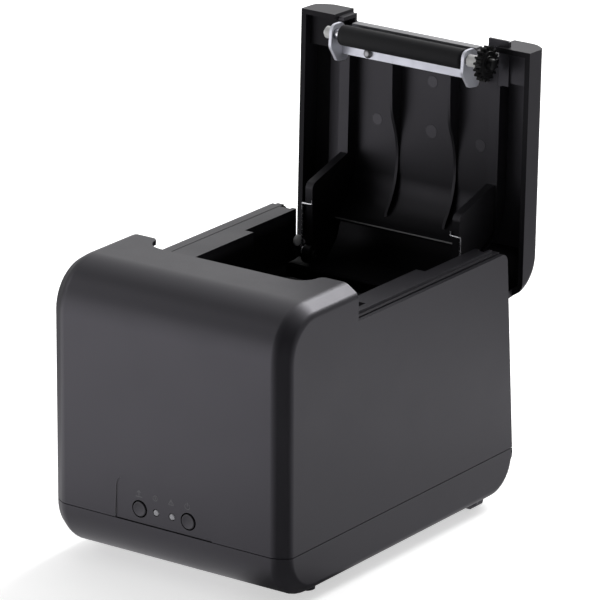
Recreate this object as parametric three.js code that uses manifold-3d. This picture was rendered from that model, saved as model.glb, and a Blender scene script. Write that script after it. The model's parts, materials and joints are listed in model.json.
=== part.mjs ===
// Thermal receipt printer with a clamshell lid, shown with its lid open.
// Millimetres, +Z up, +X to the printer's own left-to-right seen from the front, -Y towards the user.
// The parts are written in a working frame (Y = 0 on the front face, Z = 0 under the feet),
// and the whole group is then shifted so that the origin is under the middle of the bounding box.
import * as THREE from 'three';
import { mergeVertices } from 'three/addons/utils/BufferGeometryUtils.js';
import Module from 'manifold-3d';

const wasm = await Module();
wasm.setup();

// ---- driving dimensions ----
const W = 145;                 // overall width
const D_BOT = 201.5;           // depth the rear face would have at the foot
const D_TOP = 191.3;           // depth the rear face would have at the top plane
const Z_BOT = 4;               // underside of the bottom case
const Z_TOP = 155.5;           // top plane of the front cover and the closed lid
const Z_PART = 29.5;           // parting line between bottom case and upper case
const WALL = 2.5;              // shell wall
const CH_X = 7.5, CH_N = 5;    // side chamfer: along X, and across the outline
const R_FB = 25, R_RB = 22, R_FT = 26;   // outline radii: front bottom, rear bottom, front top
const Z_SEAT = 136.8;          // top edge of the side panels
const Y_EAR = 60.9;            // rear edge of the two front ears
const Y_NOTCH = 48.8;          // rear edge of the front cover between the ears
const X_NOTCH = 50;            // half width of that notch
const HINGE_Y = 186, HINGE_Z = 115;      // lid hinge axis
const LID_OPEN = 91.6;         // lid opening angle, degrees
const LID_HW = 71;             // lid half width
const Z_RIM = 138.1;           // lid rim plane when closed
const Y_HORN = 63;             // front end of the lid's two horns when closed
const Y_LIDMID = 70;           // front edge of the lid between the horns when closed
const PLATEN_Y = 69.6, PLATEN_Z = 128, PLATEN_R = 5.4, PLATEN_HL = 37.6;
const PANEL_X = -2;            // centre of the button recess
const BTN_X = [-17, 13], BTN_Z = 37, BTN_R = 4.2;
const LED_X = [-6.8, 3.0], LED_Z = 37.2, LED_R = 1.75;
const PINION = { y: 51.9, z: 101.9, n: 10 };
const IDLER = { y: 61.0, z: 111.5, n: 16 };
const GEAR_M = 1.0, GEAR_X = 49.4, GEAR_T = 3.4;
const KNIFE_Z = 136.4;         // underside of the moving knife
const CENTRE_Y = 114.96;       // shift that centres the bounding box

// ---- helpers ----
const V2 = (x, y) => new THREE.Vector2(x, y);
function solid(geo, matrix) {
  let g = geo.clone();
  if (matrix) g.applyMatrix4(matrix);
  g.deleteAttribute('normal'); g.deleteAttribute('uv');
  g = mergeVertices(g, 1e-4);
  const idx = g.index.array, p = g.attributes.position.array;
  const keep = [];
  for (let i = 0; i < idx.length; i += 3) {
    const a = idx[i], b = idx[i + 1], c = idx[i + 2];
    if (a !== b && b !== c && a !== c) keep.push(a, b, c);
  }
  return new wasm.Manifold(new wasm.Mesh({ numProp: 3, vertProperties: new Float32Array(p), triVerts: new Uint32Array(keep) }));
}
function toGeometry(m) {
  const q = m.getMesh();
  const pos = new Float32Array(q.numVert * 3);
  for (let i = 0; i < q.numVert; i++) for (let k = 0; k < 3; k++) pos[3 * i + k] = q.vertProperties[i * q.numProp + k];
  const g = new THREE.BufferGeometry();
  g.setAttribute('position', new THREE.BufferAttribute(pos, 3));
  g.setIndex(new THREE.BufferAttribute(new Uint32Array(q.triVerts), 1));
  g.computeVertexNormals();
  return g;
}
const box = (x0, x1, y0, y1, z0, z1) => solid(new THREE.BoxGeometry(x1 - x0, y1 - y0, z1 - z0),
  new THREE.Matrix4().makeTranslation((x0 + x1) / 2, (y0 + y1) / 2, (z0 + z1) / 2));
// cylinders along an axis, from a to b on that axis
const cylX = (r, x0, x1, y, z, n = 20, r2 = r) => solid(new THREE.CylinderGeometry(r2, r, x1 - x0, n),
  new THREE.Matrix4().makeTranslation((x0 + x1) / 2, y, z).multiply(new THREE.Matrix4().makeRotationZ(-Math.PI / 2)));
const cylY = (r, y0, y1, x, z, n = 20, r2 = r) => solid(new THREE.CylinderGeometry(r2, r, y1 - y0, n),
  new THREE.Matrix4().makeTranslation(x, (y0 + y1) / 2, z));
const cylZ = (r, z0, z1, x, y, n = 20, r2 = r) => solid(new THREE.CylinderGeometry(r2, r, z1 - z0, n),
  new THREE.Matrix4().makeTranslation(x, y, (z0 + z1) / 2).multiply(new THREE.Matrix4().makeRotationX(Math.PI / 2)));
// polygon with rounded corners: pts = [[x, y, r, segments], ...]
function rounded(pts) {
  const out = [];
  const n = pts.length;
  for (let i = 0; i < n; i++) {
    const [px, py, r = 0, seg = 6] = pts[i];
    if (!r) { out.push(V2(px, py)); continue; }
    const a = V2(...pts[(i + n - 1) % n].slice(0, 2)), b = V2(px, py), c = V2(...pts[(i + 1) % n].slice(0, 2));
    const u = a.clone().sub(b).normalize(), v = c.clone().sub(b).normalize();
    const ang = Math.acos(THREE.MathUtils.clamp(u.dot(v), -1, 1));
    const t = r / Math.tan(ang / 2);
    const ctr = b.clone().add(u.clone().add(v).normalize().multiplyScalar(r / Math.sin(ang / 2)));
    const s = b.clone().add(u.multiplyScalar(t)), e = b.clone().add(v.multiplyScalar(t));
    let a0 = Math.atan2(s.y - ctr.y, s.x - ctr.x), a1 = Math.atan2(e.y - ctr.y, e.x - ctr.x);
    let d = a1 - a0; while (d > Math.PI) d -= 2 * Math.PI; while (d < -Math.PI) d += 2 * Math.PI;
    for (let k = 0; k <= seg; k++) { const q = a0 + d * k / seg; out.push(V2(ctr.x + r * Math.cos(q), ctr.y + r * Math.sin(q))); }
  }
  return out;
}
// a profile in the YZ plane, extruded along X from x0 to x1
const TO_X = new THREE.Matrix4().set(0, 0, 1, 0, 1, 0, 0, 0, 0, 1, 0, 0, 0, 0, 0, 1);
function extrudeX(points, x0, x1, bevel) {
  const sh = new THREE.Shape(points);
  const opt = bevel ? { depth: x1 - x0 - 2 * bevel.x, bevelEnabled: true, bevelThickness: bevel.x, bevelSize: bevel.n, bevelOffset: -bevel.n, bevelSegments: bevel.seg || 1 }
    : { depth: x1 - x0, bevelEnabled: false };
  return solid(new THREE.ExtrudeGeometry(sh, opt), new THREE.Matrix4().makeTranslation(bevel ? x0 + bevel.x : x0, 0, 0).multiply(TO_X));
}
// a profile in the XY plane, extruded along Z
const extrudeZ = (points, z0, z1) => solid(new THREE.ExtrudeGeometry(new THREE.Shape(points), { depth: z1 - z0, bevelEnabled: false }),
  new THREE.Matrix4().makeTranslation(0, 0, z0));
// a profile in the XZ plane, extruded along Y from y0 to y1
const TO_Y = new THREE.Matrix4().set(1, 0, 0, 0, 0, 0, -1, 0, 0, 1, 0, 0, 0, 0, 0, 1);
const extrudeY = (points, y0, y1) => solid(new THREE.ExtrudeGeometry(new THREE.Shape(points), { depth: y1 - y0, bevelEnabled: false }),
  new THREE.Matrix4().makeTranslation(0, y1, 0).multiply(TO_Y));
const union = (...s) => s.reduce((a, b) => a.add(b));
// round rod along a bent path
function rod(pts, r, n = 8) {
  const path = new THREE.CurvePath();
  for (let i = 0; i + 1 < pts.length; i++) path.add(new THREE.LineCurve3(new THREE.Vector3(...pts[i]), new THREE.Vector3(...pts[i + 1])));
  const curve = new THREE.CatmullRomCurve3(pts.map(p => new THREE.Vector3(...p)), false, 'catmullrom', 0.2);
  const ring = []; for (let i = 0; i < n; i++) ring.push(V2(r * Math.cos(2 * Math.PI * i / n), r * Math.sin(2 * Math.PI * i / n)));
  return solid(new THREE.ExtrudeGeometry(new THREE.Shape(ring), { extrudePath: curve, steps: pts.length * 4, bevelEnabled: false }));
}
// spur gear in the YZ plane
function gearPoints(cy, cz, n, m, phase, add = 0.8, ded = 1.15, wt = 0.16, wr = 0.27) {
  const rp = n * m / 2, ra = rp + add * m, rr = rp - ded * m, pts = [];
  for (let i = 0; i < n; i++) {
    const c = phase + 2 * Math.PI * i / n, p = 2 * Math.PI / n;
    for (const [r, a] of [[rr, -wr], [rp, -0.22], [ra, -wt * 0.8], [ra, wt * 0.8], [rp, 0.22], [rr, wr]])
      pts.push(V2(cy + r * Math.cos(c + a * p), cz + r * Math.sin(c + a * p)));
  }
  return pts;
}

// ---- outline of the body in the YZ plane, inset by d ----
function outline(d, grow = 0) {
  const slope = (D_BOT - D_TOP) / (Z_TOP - Z_BOT);
  const yRear = z => D_BOT + CH_N - slope * (z - Z_BOT) - d;   // the rear plane itself is cut further in
  return rounded([
    [d, Z_BOT + d, R_FB - d, 12],
    [yRear(Z_BOT + d), Z_BOT + d, R_RB - d, 10],
    [yRear(Z_TOP - d), Z_TOP - d, 0],
    [d, Z_TOP - d, R_FT - d, 12],
  ]);
}
// block in front of the slanting rear plane, inset by d
const rearCut = d => extrudeX([V2(-10, -10), V2(D_BOT + 0.942 - d, -10), V2(D_TOP - 0.976 - d, 170), V2(-10, 170)], -90, 90);
const bodyOuter = extrudeX(outline(0), -W / 2, W / 2, { x: CH_X, n: CH_N }).intersect(rearCut(0));
const bodyInner = extrudeX(outline(WALL), -W / 2 + WALL, W / 2 - WALL, { x: CH_X, n: CH_N }).intersect(rearCut(WALL));

const nodes = [];
const mats = {
  case: new THREE.MeshStandardMaterial({ color: 0x4a494e, roughness: 0.45, metalness: 0 }),
  inner: new THREE.MeshStandardMaterial({ color: 0x2c2b2f, roughness: 0.5, metalness: 0 }),
  rubber: new THREE.MeshStandardMaterial({ color: 0x2b2b2d, roughness: 0.7, metalness: 0 }),
  steel: new THREE.MeshStandardMaterial({ color: 0xc9c9cf, roughness: 0.3, metalness: 1 }),
  zinc: new THREE.MeshStandardMaterial({ color: 0xb9bac0, roughness: 0.4, metalness: 1 }),
  alu: new THREE.MeshStandardMaterial({ color: 0xb4b5b8, roughness: 0.45, metalness: 1 }),
  gear: new THREE.MeshStandardMaterial({ color: 0x1b1b1d, roughness: 0.4, metalness: 0 }),
  white: new THREE.MeshStandardMaterial({ color: 0xc9c9c6, roughness: 0.45, metalness: 0 }),
  board: new THREE.MeshStandardMaterial({ color: 0x1f5a38, roughness: 0.5, metalness: 0 }),
  lens: new THREE.MeshStandardMaterial({ color: 0xb5b5b8, roughness: 0.25, metalness: 0 }),
};
const base = new THREE.Group(), lid = new THREE.Group();
function node(name, m, mat, group = base) {
  const parts = m.decompose ? m.decompose() : [m];
  if (parts.length !== 1) console.error('warning: ' + name + ' has ' + parts.length + ' bodies');
  const mesh = new THREE.Mesh(toGeometry(m), mats[mat]);
  mesh.name = name;
  group.add(mesh);
  nodes.push(mesh);
}

// ================= base =================
// ---- upper case: front cover with two ears, side panels, rear wall ----
{
  let s = bodyOuter.subtract(bodyInner);
  s = s.subtract(box(-80, 80, -5, 210, -5, Z_PART + 0.2));
  // everything above the side panels behind the ears
  s = s.subtract(box(-80, 80, Y_EAR, 210, Z_SEAT, 170));
  // notch between the ears
  s = s.subtract(extrudeZ(rounded([[-X_NOTCH, Y_NOTCH, 10, 6], [X_NOTCH, Y_NOTCH, 10, 6], [X_NOTCH, Y_EAR, 3.5, 4], [X_NOTCH + 6, Y_EAR + 0.01], [X_NOTCH + 6, 80], [-X_NOTCH - 6, 80], [-X_NOTCH - 6, Y_EAR + 0.01], [-X_NOTCH, Y_EAR, 3.5, 4]]), 120, 170));
  // rear wall lowered between the side panels, where the lid's rear wall swings
  s = s.subtract(box(-65.3, 65.3, 150, 210, 104.6, 170));
  // rounded rear corner of the side panels
  s = s.subtract(extrudeX([V2(187.2, Z_SEAT + 0.2), ...rounded([[187.2, Z_SEAT + 0.2], [192.75, Z_SEAT, 5, 5], [192.9, 130], [200, 130], [200, Z_SEAT + 3], [187.2, Z_SEAT + 3]]).slice(1)], -80, 80));
  // closing ribs behind the ears that stiffen the side panels
  // button recess and its holes
  s = s.subtract(extrudeY(rounded([[PANEL_X - 30, Z_PART - 4], [PANEL_X + 30, Z_PART - 4], [PANEL_X + 29, 53.2, 7, 5], [PANEL_X - 29, 53.2, 7, 5]]), -3, 1.0));
  for (const x of BTN_X) s = s.subtract(cylY(BTN_R + 0.45, -3, 8, x, BTN_Z, 28));
  for (const x of LED_X) s = s.subtract(cylY(LED_R + 0.25, -3, 8, x, LED_Z, 18));
  // connector window in the rear wall
  s = s.subtract(box(-50, 50, 185, 210, 34, 56));
  // fixing posts for the front board and the bin, and screw posts to the bottom case
  for (const sx of [-1, 1]) {
      s = s.add(box(sx > 0 ? 61 : -70.5, sx > 0 ? 70.5 : -61, 24, 34, 34, 46).subtract(cylZ(1.75, 30, 44, sx * 64.5, 29, 12)));
    s = s.add(box(sx > 0 ? 61 : -70.5, sx > 0 ? 70.5 : -61, 168, 178, 34, 46).subtract(cylZ(1.75, 30, 44, sx * 64.5, 173, 12)));
  }
  node('upper_case', s, 'case');
}
// ---- bottom case ----
{
  let s = bodyOuter.subtract(bodyInner);
  s = s.subtract(box(-80, 80, -5, 210, Z_PART - 0.2, 170));
  // inner lip that locates the upper case
  const lip = extrudeX(outline(WALL + 0.3), -W / 2 + WALL + 0.3, W / 2 - WALL - 0.3, { x: CH_X, n: CH_N })
    .subtract(extrudeX(outline(WALL + 1.8), -W / 2 + WALL + 1.8, W / 2 - WALL - 1.8, { x: CH_X, n: CH_N }))
    .intersect(box(-80, 80, -5, 194, Z_PART - 8, Z_PART + 2.2));
  const join = extrudeX(outline(WALL - 0.4), -W / 2 + WALL - 0.4, W / 2 - WALL + 0.4, { x: CH_X, n: CH_N })
    .subtract(extrudeX(outline(WALL + 1.8), -W / 2 + WALL + 1.8, W / 2 - WALL - 1.8, { x: CH_X, n: CH_N }))
    .intersect(box(-80, 80, -5, 194, Z_PART - 8, Z_PART - 3));
  s = s.add(lip).add(join);
  // floor ribs that carry the main board
  for (const y of [62, 128]) for (const x of [-46, 46]) s = s.add(cylZ(3.2, 5, 15.7, x, y, 14));
  // screw posts with counterbores from below
  for (const sx of [-1, 1]) for (const y of [29, 173]) {
    s = s.add(cylZ(4.4, 5, 33.2, sx * 64.5, y, 16));
  }
  for (const sx of [-1, 1]) for (const y of [29, 173]) {
    s = s.subtract(cylZ(3.3, -2, 18, sx * 64.5, y, 16)).subtract(cylZ(1.7, 10, 40, sx * 64.5, y, 12));
  }
  // pockets for the front rubber feet
  for (const sx of [-1, 1]) s = s.subtract(cylZ(7.3, 0, 5, sx * 38, 46, 20));
  // ventilation slots in the floor
  for (let i = 0; i < 5; i++) s = s.subtract(box(-24 + i * 11, -20 + i * 11, 88, 120, 0, 10));
  s = s.intersect(box(-80, 80, -5, 210, Z_BOT, 60));
  node('bottom_case', s, 'case');
}
// ---- paper bin with its seat flange ----
const ROLL_Y = 113, ROLL_Z = 103, BIN_R = 44;
{
  const inner = rounded([[69, 150], [69, 59, 43.9, 14], [157, 59, 43.9, 14], [157, 106], [198, 106], [198, 150]]);
  const arc = [];
  const prof = (d) => {          // bucket profile grown by d
    const p = [V2(ROLL_Y - BIN_R - d, 150)];
    for (let i = 0; i <= 16; i++) { const a = Math.PI + Math.PI * i / 16; p.push(V2(ROLL_Y + (BIN_R + d) * Math.cos(a), ROLL_Z + (BIN_R + d) * Math.sin(a))); }
    p.push(V2(ROLL_Y + BIN_R + d, 150));
    return p;
  };
  let outer = extrudeX(prof(2.4), -53, 53);
  // wider rear bay for the lid's hinge arms, open towards the rear
  outer = outer.add(box(-58.6, 58.6, 140, 190.5, 100.6, 138));
  // seat flange along both sides
  outer = outer.add(box(-69.4, 69.4, 62.2, 189.6, 135.2, 137.4).subtract(box(-65.3, 65.3, 185.6, 200, 130, 140)));
  // raised rail on the flange
  let s = outer.subtract(extrudeX(prof(0), -50.6, 50.6)).subtract(box(-56, 56, 142.4, 200, 103, 170));
  for (const sx of [-1, 1]) {
    const c = sx > 0 ? 65.6 : -67.4, d = sx > 0 ? 67.4 : -65.6;
    s = s.add(box(c, d, 66.6, 186.2, 137, 138.5));
  }
  s = s.intersect(box(-69.4, 69.4, 62.2, 190.5, 50, 138.5));
  // keep only the flange above the bucket, trim stray upper parts
  s = s.subtract(box(-65.5, 65.5, 60, 200, 137.4, 170));
  // front: bin wall lowered under the print mechanism, flange cut back round the platen gear
  s = s.subtract(box(-60.5, 60.5, 55, 84, 100.5, 170));
  // hinge pin holes in the bay's cheeks
  s = s.subtract(cylX(2.75, -75, 75, HINGE_Y, HINGE_Z, 20));
  // clearance for the lid's swinging rear wall
  s = s.subtract(box(-65.3, 65.3, 178.4, 200, 96, 109.8));
  s = s.subtract(extrudeX([V2(HINGE_Y + 1.6, 120), V2(HINGE_Y + 5.2, 115), ...Array.from({ length: 9 }, (_, i) => V2(HINGE_Y + 5.2 * Math.cos(-Math.PI / 2 * i / 8), HINGE_Z + 5.2 * Math.sin(-Math.PI / 2 * i / 8))).slice(1), V2(HINGE_Y, 100), V2(200, 100), V2(200, 140), V2(HINGE_Y + 1.6, 140)], -65.3, 65.3));
  // paper exit guide at the front lip
  node('paper_bin', s, 'inner');
}
// ---- print mechanism frame ----
{
  const cheek = (x0, x1) => {
    let c = extrudeX(rounded([[44, 94, 2, 2], [64, 94, 2, 2], [65.6, 102.6], [78, 108, 2, 2], [80, 131, 2, 2], [46, 131, 4, 3]]), x0, x1);
    c = c.subtract(extrudeX([V2(PLATEN_Y - 3.6, 132.5), ...Array.from({ length: 11 }, (_, i) => { const a = Math.PI + Math.PI * i / 10; return V2(PLATEN_Y + 3.6 * Math.cos(a), PLATEN_Z + 3.6 * Math.sin(a)); }), V2(PLATEN_Y + 6.2, 132.5)], x0 - 1, x1 + 1));
    return c;
  };
  let s = union(cheek(43.5, 45.4), cheek(-45.4, -43.5),
    box(-44, 44, 45, 62, 94, 97),
    box(-44, 44, 49.4, 51, 115.4, 129));
  s = s.subtract(cylX(1.75, -60, 60, 57.7, 119.6, 16));      // head pivot rod
  s = s.subtract(cylX(1.75, -60, 60, 75.2, 111.4, 16));    // latch rod
  s = s.subtract(cylX(2.3, 40, 60, PINION.y, PINION.z, 16)); // feed motor shaft
  s = s.add(cylX(1.6, 45, 54.2, IDLER.y, IDLER.z, 14));    // idler stud
  // mounting tabs onto the bin's front wall
  s = s.subtract(box(-44, 44, 60.3, 90, 90, 97.5));
  node('mech_frame', s, 'zinc');
}
node('head_rod', cylX(1.6, -46.4, 46.4, 57.7, 119.6, 14), 'steel');
// print head: heat sink block with the ceramic strip
{
  let s = box(-42, 42, 55.1, 61.7, 115.4, 131.0);
  s = s.subtract(cylX(1.75, -60, 60, 57.7, 119.6, 16));
  for (let i = 0; i < 7; i++) s = s.subtract(box(-39.6 + i * 11.4, -37 + i * 11.4 + 5.4, 50, 57.6, 126.4, 140));
  node('heat_sink', s, 'alu');
  node('print_head', extrudeX(rounded([[62.0, 119], [63.3, 119, 0.5, 2], [63.9, 127, 0.8, 2], [63.5, 131], [62.0, 131]]), -41.5, 41.5), 'white');
}
for (const [n, x] of [['head_spring_left', -20], ['head_spring_right', 20]]) {
  // coil spring between the frame's front plate and the head, as its outer tube
  const c = cylY(2.8, 51.3, 54.7, x, 124, 16).subtract(cylY(1.8, 40, 60, x, 124, 12));
  node(n, c, 'steel');
}
// ---- feed motor, pinion, idler ----
{
  let s = cylX(10.5, 22, 41, PINION.y, PINION.z, 28).add(cylX(9, 40.9, 43.2, PINION.y, PINION.z, 24));
  s = s.subtract(cylX(1.4, 30, 60, PINION.y, PINION.z, 14));
  s = s.subtract(box(0, 50, 30, 70, 80, 97.4));
  node('feed_motor', s, 'zinc');
}
{
  let g = extrudeX(gearPoints(PINION.y, PINION.z, PINION.n, GEAR_M, 0), GEAR_X, GEAR_X + GEAR_T);
  g = g.add(cylX(1.0, 33, GEAR_X + 1, PINION.y, PINION.z, 14));
  node('motor_pinion', g, 'steel');
}
const IDLER_PHASE = (() => {     // teeth of the idler set so that a gap faces the pinion's tooth
  const ang = Math.atan2(PINION.z - IDLER.z, PINION.y - IDLER.y);          // from idler to pinion
  const back = Math.atan2(IDLER.z - PINION.z, IDLER.y - PINION.y);         // from pinion to idler
  const pp = 2 * Math.PI / PINION.n, pi = 2 * Math.PI / IDLER.n;
  const off = ((back % pp) + pp) % pp;      // angle past the last pinion tooth (teeth at 0, pp, ...)
  // pinion tooth centre is 'off' behind the line of centres; the idler's gap centre must be at the same arc
  const arc = off * PINION.n / IDLER.n;
  return ang + arc + pi / 2;
})();
{
  let g = extrudeX(gearPoints(IDLER.y, IDLER.z, IDLER.n, GEAR_M, IDLER_PHASE), GEAR_X, GEAR_X + GEAR_T);
  g = g.subtract(cylX(1.9, 40, 70, IDLER.y, IDLER.z, 16));
  node('idler_gear', g, 'gear');
}
// ---- platen latch: two fingers beside the bushes on one rod ----
node('latch_rod', cylX(1.6, -48.6, 48.6, 75.2, 111.4, 14), 'steel');
{
  const finger = (x0, x1) => extrudeX(rounded([[73.0, 108.2, 2, 2], [78.2, 108.2, 2, 2], [79.4, 120], [80.2, 132.4, 1, 2], [76.6, 133.4, 1, 2], [74.2, 129.4], [74.6, 120]]), x0, x1)
    .subtract(cylX(1.85, -60, 60, 75.2, 111.4, 16));
  let s = union(finger(45.8, 47.8), finger(-47.8, -45.8));
  s = s.add(extrudeX(rounded([[78, 117], [83.0, 117, 1, 2], [83.0, 119.4, 1, 2], [78, 119.4]]), -47.8, 47.8));
  s = s.subtract(box(-45.75, 45.75, 60, 81.0, 100, 140));
  node('platen_latch', s, 'zinc');
}
// ---- automatic cutter under the front cover ----
{
  // tray with two guide rails
  let s = box(-52, 52, 22, 47.6, 133.2, 134.6);
  s = s.add(box(-52, -49.4, 22, 58, 133.2, 140)).add(box(49.4, 52, 22, 58, 133.2, 140));
  s = s.add(box(-52, -46.4, 22, 58, 138.6, 140)).add(box(46.4, 52, 22, 58, 138.6, 140));
  s = s.add(box(-52, 52, 22, 24, 128, 140));
  s = s.subtract(box(27, 36.6, 24.5, 60, 130, 136));
  s = s.subtract(box(-43, 43, 44.4, 60, 130, 137));
  node('cutter_frame', s, 'zinc');
}
const KP = { y: 40, z: 128.2, n: 10 };   // cutter pinion
{
  // blade plate with a shallow V edge, and a rack under it
  let s = extrudeZ([V2(-48.9, 27), V2(48.9, 27), V2(48.9, 50), V2(44, 58.5), V2(0, 55.5), V2(-44, 58.5), V2(-48.9, 50)], KNIFE_Z, KNIFE_Z + 1.2);
  const rp = KP.n * GEAR_M / 2, zp = KP.z + rp;      // pitch line of the rack
  const pts = [V2(27, KNIFE_Z + 0.2), V2(27, zp + 1.15)];
  const pitch = Math.PI * GEAR_M;
  for (let i = 0; i < 8; i++) {
    const c = KP.y - 3.5 * pitch + i * pitch;
    pts.push(V2(c - 0.27 * pitch, zp + 1.15), V2(c - 0.22 * pitch, zp), V2(c - 0.128 * pitch, zp - 0.8), V2(c + 0.128 * pitch, zp - 0.8), V2(c + 0.22 * pitch, zp), V2(c + 0.27 * pitch, zp + 1.15));
  }
  pts.push(V2(54, zp + 1.15), V2(54, KNIFE_Z + 0.2));
  s = s.add(extrudeX(pts.reverse(), 29, 32.4));
  node('moving_knife', s, 'steel');
  let g = extrudeX(gearPoints(KP.y, KP.z, KP.n, GEAR_M, Math.PI / 2), 28.6, 32.8);
  g = g.add(cylX(1.0, 20, 29, KP.y, KP.z, 14));
  node('cutter_pinion', g, 'gear');
}
{
  let s = cylX(9, 2, 26, KP.y, KP.z, 24).intersect(box(0, 30, 20, 60, 120, 132.9));
  s = s.subtract(cylX(1.3, 15, 30, KP.y, KP.z, 14));
  node('cutter_motor', s, 'zinc');
}
// ---- hinge pins ----
node('hinge_pin_left', cylX(2.5, -61, -42.6, HINGE_Y, HINGE_Z, 20).add(cylX(5.2, -51.6, -50.4, 185.4, 120.8, 28)).add(cylX(3.6, -51.6, -50.4, 185.7, 116, 20)), 'white');
node('hinge_pin_right', cylX(2.5, 42.6, 61, HINGE_Y, HINGE_Z, 20).add(cylX(5.2, 50.4, 51.6, 185.4, 120.8, 28)).add(cylX(3.6, 50.4, 51.6, 185.7, 116, 20)), 'white');
// ---- sensors, boards, cable ----
node('near_end_sensor', box(-66, -53.4, 120, 134, 70, 84).add(cylX(2.4, -54, -53.1, 127, 77, 12)), 'inner');
node('main_board', box(-52, 52, 52, 176, 16, 17.6).subtract(cylZ(1.6, 0, 30, -46, 62, 12)).subtract(cylZ(1.6, 0, 30, 46, 128, 12)), 'board');
node('front_board', box(-32, 28, 7.6, 9.2, 31.6, 52), 'board');
node('head_cable', extrudeX([V2(50.2, 17.9), V2(53, 17.9), V2(53, 18.5), V2(50.8, 18.5), V2(50.8, 93.7), V2(50.2, 93.7)], -20, 20), 'white');
// ---- rear connectors ----
function socket(name, x0, x1, z0, z1, hx, hz0, hz1, depth) {
  const yb = 176.4, yf = 197.2;
  let s = box(x0, x1, yb, yf, z0, z1).subtract(box((x0 + x1) / 2 - hx, (x0 + x1) / 2 + hx, yf - depth, yf + 5, hz0, hz1));
  return s;
}
node('power_socket', cylY(6.4, 176.4, 196.6, 38, 44, 20).intersect(box(30, 46, 170, 200, 34.4, 55)).subtract(cylY(4.2, 184, 200, 38, 44, 18)).add(cylY(1.0, 180, 194, 38, 44, 10)), 'gear');
node('usb_socket', socket('usb', 12, 24.4, 36, 47.2, 4.5, 37.6, 45.8, 12), 'steel');
node('network_socket', socket('net', -12, 4.4, 35, 49, 6.2, 37.4, 46.4, 14), 'steel');
node('drawer_socket', socket('drawer', -34, -20.6, 35, 48, 5.0, 37.4, 45, 13), 'gear');
// ---- buttons, lenses ----
for (const [n, x] of [['feed_button', BTN_X[0]], ['power_button', BTN_X[1]]]) {
  let s = cylY(BTN_R, 0.45, 5.2, x, BTN_Z, 28);
  s = s.add(cylY(BTN_R + 1.3, 4.9, 5.9, x, BTN_Z, 28));
  node(n, s, 'gear');
}
for (const [n, x] of [['power_lens', LED_X[0]], ['error_lens', LED_X[1]]]) {
  let s = cylY(LED_R, 0.85, 5.8, x, LED_Z, 18).add(cylY(1.2, 5.5, 7.3, x, LED_Z, 12));
  node(n, s, 'lens');
}
// ---- feet and case screws ----
node('foot_front_left', cylZ(7, 0, 4.7, -38, 46, 20), 'rubber');
node('foot_front_right', cylZ(7, 0, 4.7, 38, 46, 20), 'rubber');
for (const [n, sx] of [['foot_rear_left', -1], ['foot_rear_right', 1]]) {
  const x0 = sx > 0 ? 55.5 : -62.5, x1 = sx > 0 ? 62.5 : -55.5;
  node(n, extrudeX(rounded([[176.4, 0.0, 1, 2], [188.4, 0.0, 1, 2], [189.6, 3.7], [174.6, 3.7]]), x0, x1), 'case');
}
[[-1, 29, 'case_screw_front_left'], [1, 29, 'case_screw_front_right'], [-1, 173, 'case_screw_rear_left'], [1, 173, 'case_screw_rear_right']].forEach(([sx, y, n]) => {
  let s = cylZ(3.0, 15.4, 17.7, sx * 64.5, y, 18).add(cylZ(1.4, 17.5, 42, sx * 64.5, y, 12));
  s = s.subtract(box(sx * 64.5 - 2.2, sx * 64.5 + 2.2, y - 0.4, y + 0.4, 14, 16.4)).subtract(box(sx * 64.5 - 0.4, sx * 64.5 + 0.4, y - 2.2, y + 2.2, 14, 16.4));
  node(n, s, 'steel');
});

// ================= lid, written closed =================
{
  // outline of the lid in the YZ plane, inset by d
  const lidOutline = d => rounded([[30, 90], [195.6 - d, 90], [193.4 - d, Z_TOP - d, 22 - d * 0.8, 12], [30, Z_TOP - d]]);
  const outer = extrudeX(lidOutline(0), -LID_HW, LID_HW, { x: CH_X, n: CH_N });
  const inner = extrudeX(lidOutline(2.8), -LID_HW + 3, LID_HW - 3, { x: CH_X - 1.5, n: CH_N - 1 });
  let s = outer.intersect(box(-80, 80, 0, 193.7, 90, 170)).intersect(union(box(-80, 80, Y_HORN, 210, Z_RIM, 170), box(-64.9, 64.9, 187.2, 210, 111.6, 170)));
  let cav = inner.intersect(box(-80, 80, Y_HORN + 2.8, 210, 90, 170));
  s = s.subtract(cav);
  // front edge between the horns
  s = s.subtract(extrudeZ(rounded([[-X_NOTCH, 40], [X_NOTCH, 40], [X_NOTCH, Y_LIDMID, 5, 4], [-X_NOTCH, Y_LIDMID, 5, 4]]), 130, 170));
  s = s.add(box(-X_NOTCH + 1, X_NOTCH - 1, Y_LIDMID + 0.01, Y_LIDMID + 2.4, 144.6, 153.4));
  // closed front blocks of the horns
  const shell = outer.intersect(box(-80, 80, Y_HORN, 193.7, Z_RIM, 170));
  for (const sx of [-1, 1]) s = s.add(shell.intersect(box(sx > 0 ? X_NOTCH + 0.3 : -72, sx > 0 ? 72 : -X_NOTCH - 0.3, Y_HORN + 0.5, Y_HORN + 19, 142.2, 153.6)));
  // inner cheeks of the horns
  for (const sx of [-1, 1]) {
    const a = sx > 0 ? X_NOTCH + 0.3 : -X_NOTCH - 2.6, b = sx > 0 ? X_NOTCH + 2.6 : -X_NOTCH - 0.3;
    s = s.add(box(a, b, Y_HORN + 1, Y_LIDMID + 14, 141, 153.4));
if (sx < 0) s = s.add(box(-50.5, -46.4, Y_HORN + 1.6, Y_HORN + 3.6, 141.6, 153.4).add(box(-50.5, -46.4, Y_HORN + 1.6, Y_LIDMID + 1, 151.6, 153.4)));
    else s = s.add(box(50.3, 56.6, 59.9, 83.6, 141, 142.5)).add(box(43.8, 52, 59.9, 65.4, 141, 142.5));   // guard over the platen gear
  }
  node('lid_cover', s, 'case', lid);
}
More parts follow.
